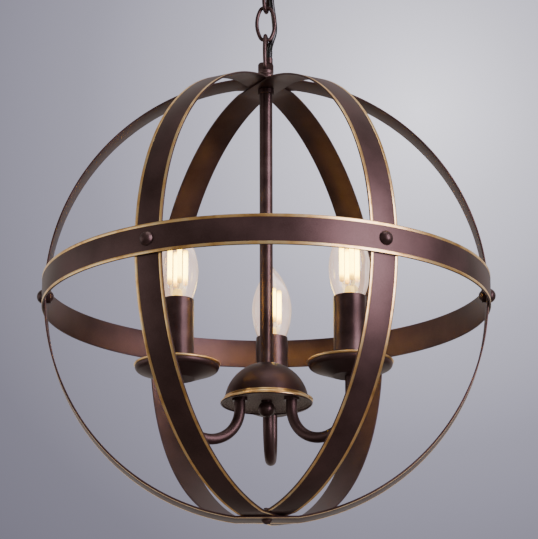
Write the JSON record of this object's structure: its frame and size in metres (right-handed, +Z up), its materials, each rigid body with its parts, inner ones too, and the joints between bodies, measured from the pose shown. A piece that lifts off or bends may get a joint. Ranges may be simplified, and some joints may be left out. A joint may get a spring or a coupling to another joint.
{
  "type": "orb chandelier",
  "caption": "Orb chandelier: an open globe of flat dark bronze straps with gold edges, candle lights on curved arms inside, on a chain with a cord and a round ceiling canopy.",
  "frame": {"origin": "middle of the ceiling bracket's top face, on the ceiling plane", "axes": "+Z up to the ceiling, the fitting hangs below it, -Y is the side that faces the viewer, +X is the viewer's right"},
  "size_m": [0.3896, 0.38, 0.5391],
  "materials": {
    "dark_bronze": "satin",
    "gold_edge": "satin",
    "textured_black": "textured",
    "zinc_steel": "plain",
    "green_screw": "gloss",
    "black_cord": "gloss",
    "black_plastic": "matte",
    "lead_insulation": "gloss",
    "connector_plastic": "gloss",
    "brass_contact": "bright",
    "nickel_cap": "bright",
    "clear_glass": "clear",
    "lit_sticks": "glowing"
  },
  "bodies": {
    "ceiling_canopy": {"mounting_bracket": "zinc_steel", "canopy": "dark_bronze", "ceiling_nipple": "zinc_steel", "nipple_locknut": "zinc_steel", "canopy_ring_nut": "dark_bronze", "canopy_loop": "dark_bronze", "ground_screw": "green_screw", "cord_bushing": "black_plastic", "canopy_leads": "lead_insulation", "wire_connectors": "connector_plastic", "supply_cord": "black_cord"},
    "link_top": {"chain_link_top": "dark_bronze"},
    "link_middle": {"chain_link_middle": "dark_bronze"},
    "link_bottom": {"chain_link_bottom": "dark_bronze"},
    "orb": {"arm_back": "dark_bronze", "arm_left": "dark_bronze", "arm_nuts": "dark_bronze", "arm_right": "dark_bronze", "arm_wires": "lead_insulation", "candle_sleeve_back": "dark_bronze", "candle_sleeve_left": "dark_bronze", "candle_sleeve_right": "dark_bronze", "cluster_dome": "dark_bronze", "cluster_plate": "textured_black", "cord_end_sleeve": "black_cord", "dish_back": "dark_bronze", "dish_left": "dark_bronze", "dish_nuts": "dark_bronze", "dish_right": "dark_bronze", "dome_connectors": "connector_plastic", "dome_locknut": "zinc_steel", "equator_nuts": "dark_bronze", "equator_ring": "dark_bronze", "equator_screws": "dark_bronze", "finial": "dark_bronze", "hanging_collar": "dark_bronze", "hoop_inner": "dark_bronze", "hoop_middle": "dark_bronze", "hoop_outer": "dark_bronze", "lamp_socket_back": "black_plastic", "lamp_socket_left": "black_plastic", "lamp_socket_right": "black_plastic", "pole_nut": "zinc_steel", "pole_screw": "dark_bronze", "socket_contacts": "brass_contact", "socket_shell_back": "brass_contact", "socket_shell_left": "brass_contact", "socket_shell_right": "brass_contact", "stem": "dark_bronze", "stem_lead": "black_cord", "stem_locknut": "dark_bronze"},
    "bulb_left": {"bulb_glass_left": "clear_glass", "bulb_cap_left": "nickel_cap", "bulb_filament_left": "lit_sticks"},
    "bulb_right": {"bulb_glass_right": "clear_glass", "bulb_cap_right": "nickel_cap", "bulb_filament_right": "lit_sticks"},
    "bulb_back": {"bulb_glass_back": "clear_glass", "bulb_cap_back": "nickel_cap", "bulb_filament_back": "lit_sticks"}
  },
  "joints": [
    {"name": "canopy_loop_to_top_link", "type": "hinge", "parent": "ceiling_canopy", "child": "link_top", "pos_m": [0, 0, -0.0568], "axis": [1, 0, 0], "range_deg": [-25, 25], "deforming": ["supply_cord", "cord_end_sleeve"]},
    {"name": "top_link_to_middle_link", "type": "hinge", "parent": "link_top", "child": "link_middle", "pos_m": [0, 0, -0.08305], "axis": [0.2419, 0.9703, 0], "range_deg": [-25, 25]},
    {"name": "middle_link_to_bottom_link", "type": "hinge", "parent": "link_middle", "child": "link_bottom", "pos_m": [0, 0, -0.10975], "axis": [1, 0, 0], "range_deg": [-25, 25]},
    {"name": "bottom_link_to_collar", "type": "hinge", "parent": "link_bottom", "child": "orb", "pos_m": [0, 0, -0.13645], "axis": [0.1392, 0.9903, 0], "range_deg": [-25, 25]},
    {"name": "bulb_left_out_of_socket", "type": "slide", "parent": "orb", "child": "bulb_left", "axis": [0, 0, 1], "range_m": [0, 0.04]},
    {"name": "bulb_right_out_of_socket", "type": "slide", "parent": "orb", "child": "bulb_right", "axis": [0, 0, 1], "range_m": [0, 0.04]},
    {"name": "bulb_back_out_of_socket", "type": "slide", "parent": "orb", "child": "bulb_back", "axis": [0, 0, 1], "range_m": [0, 0.04]}
  ]
}
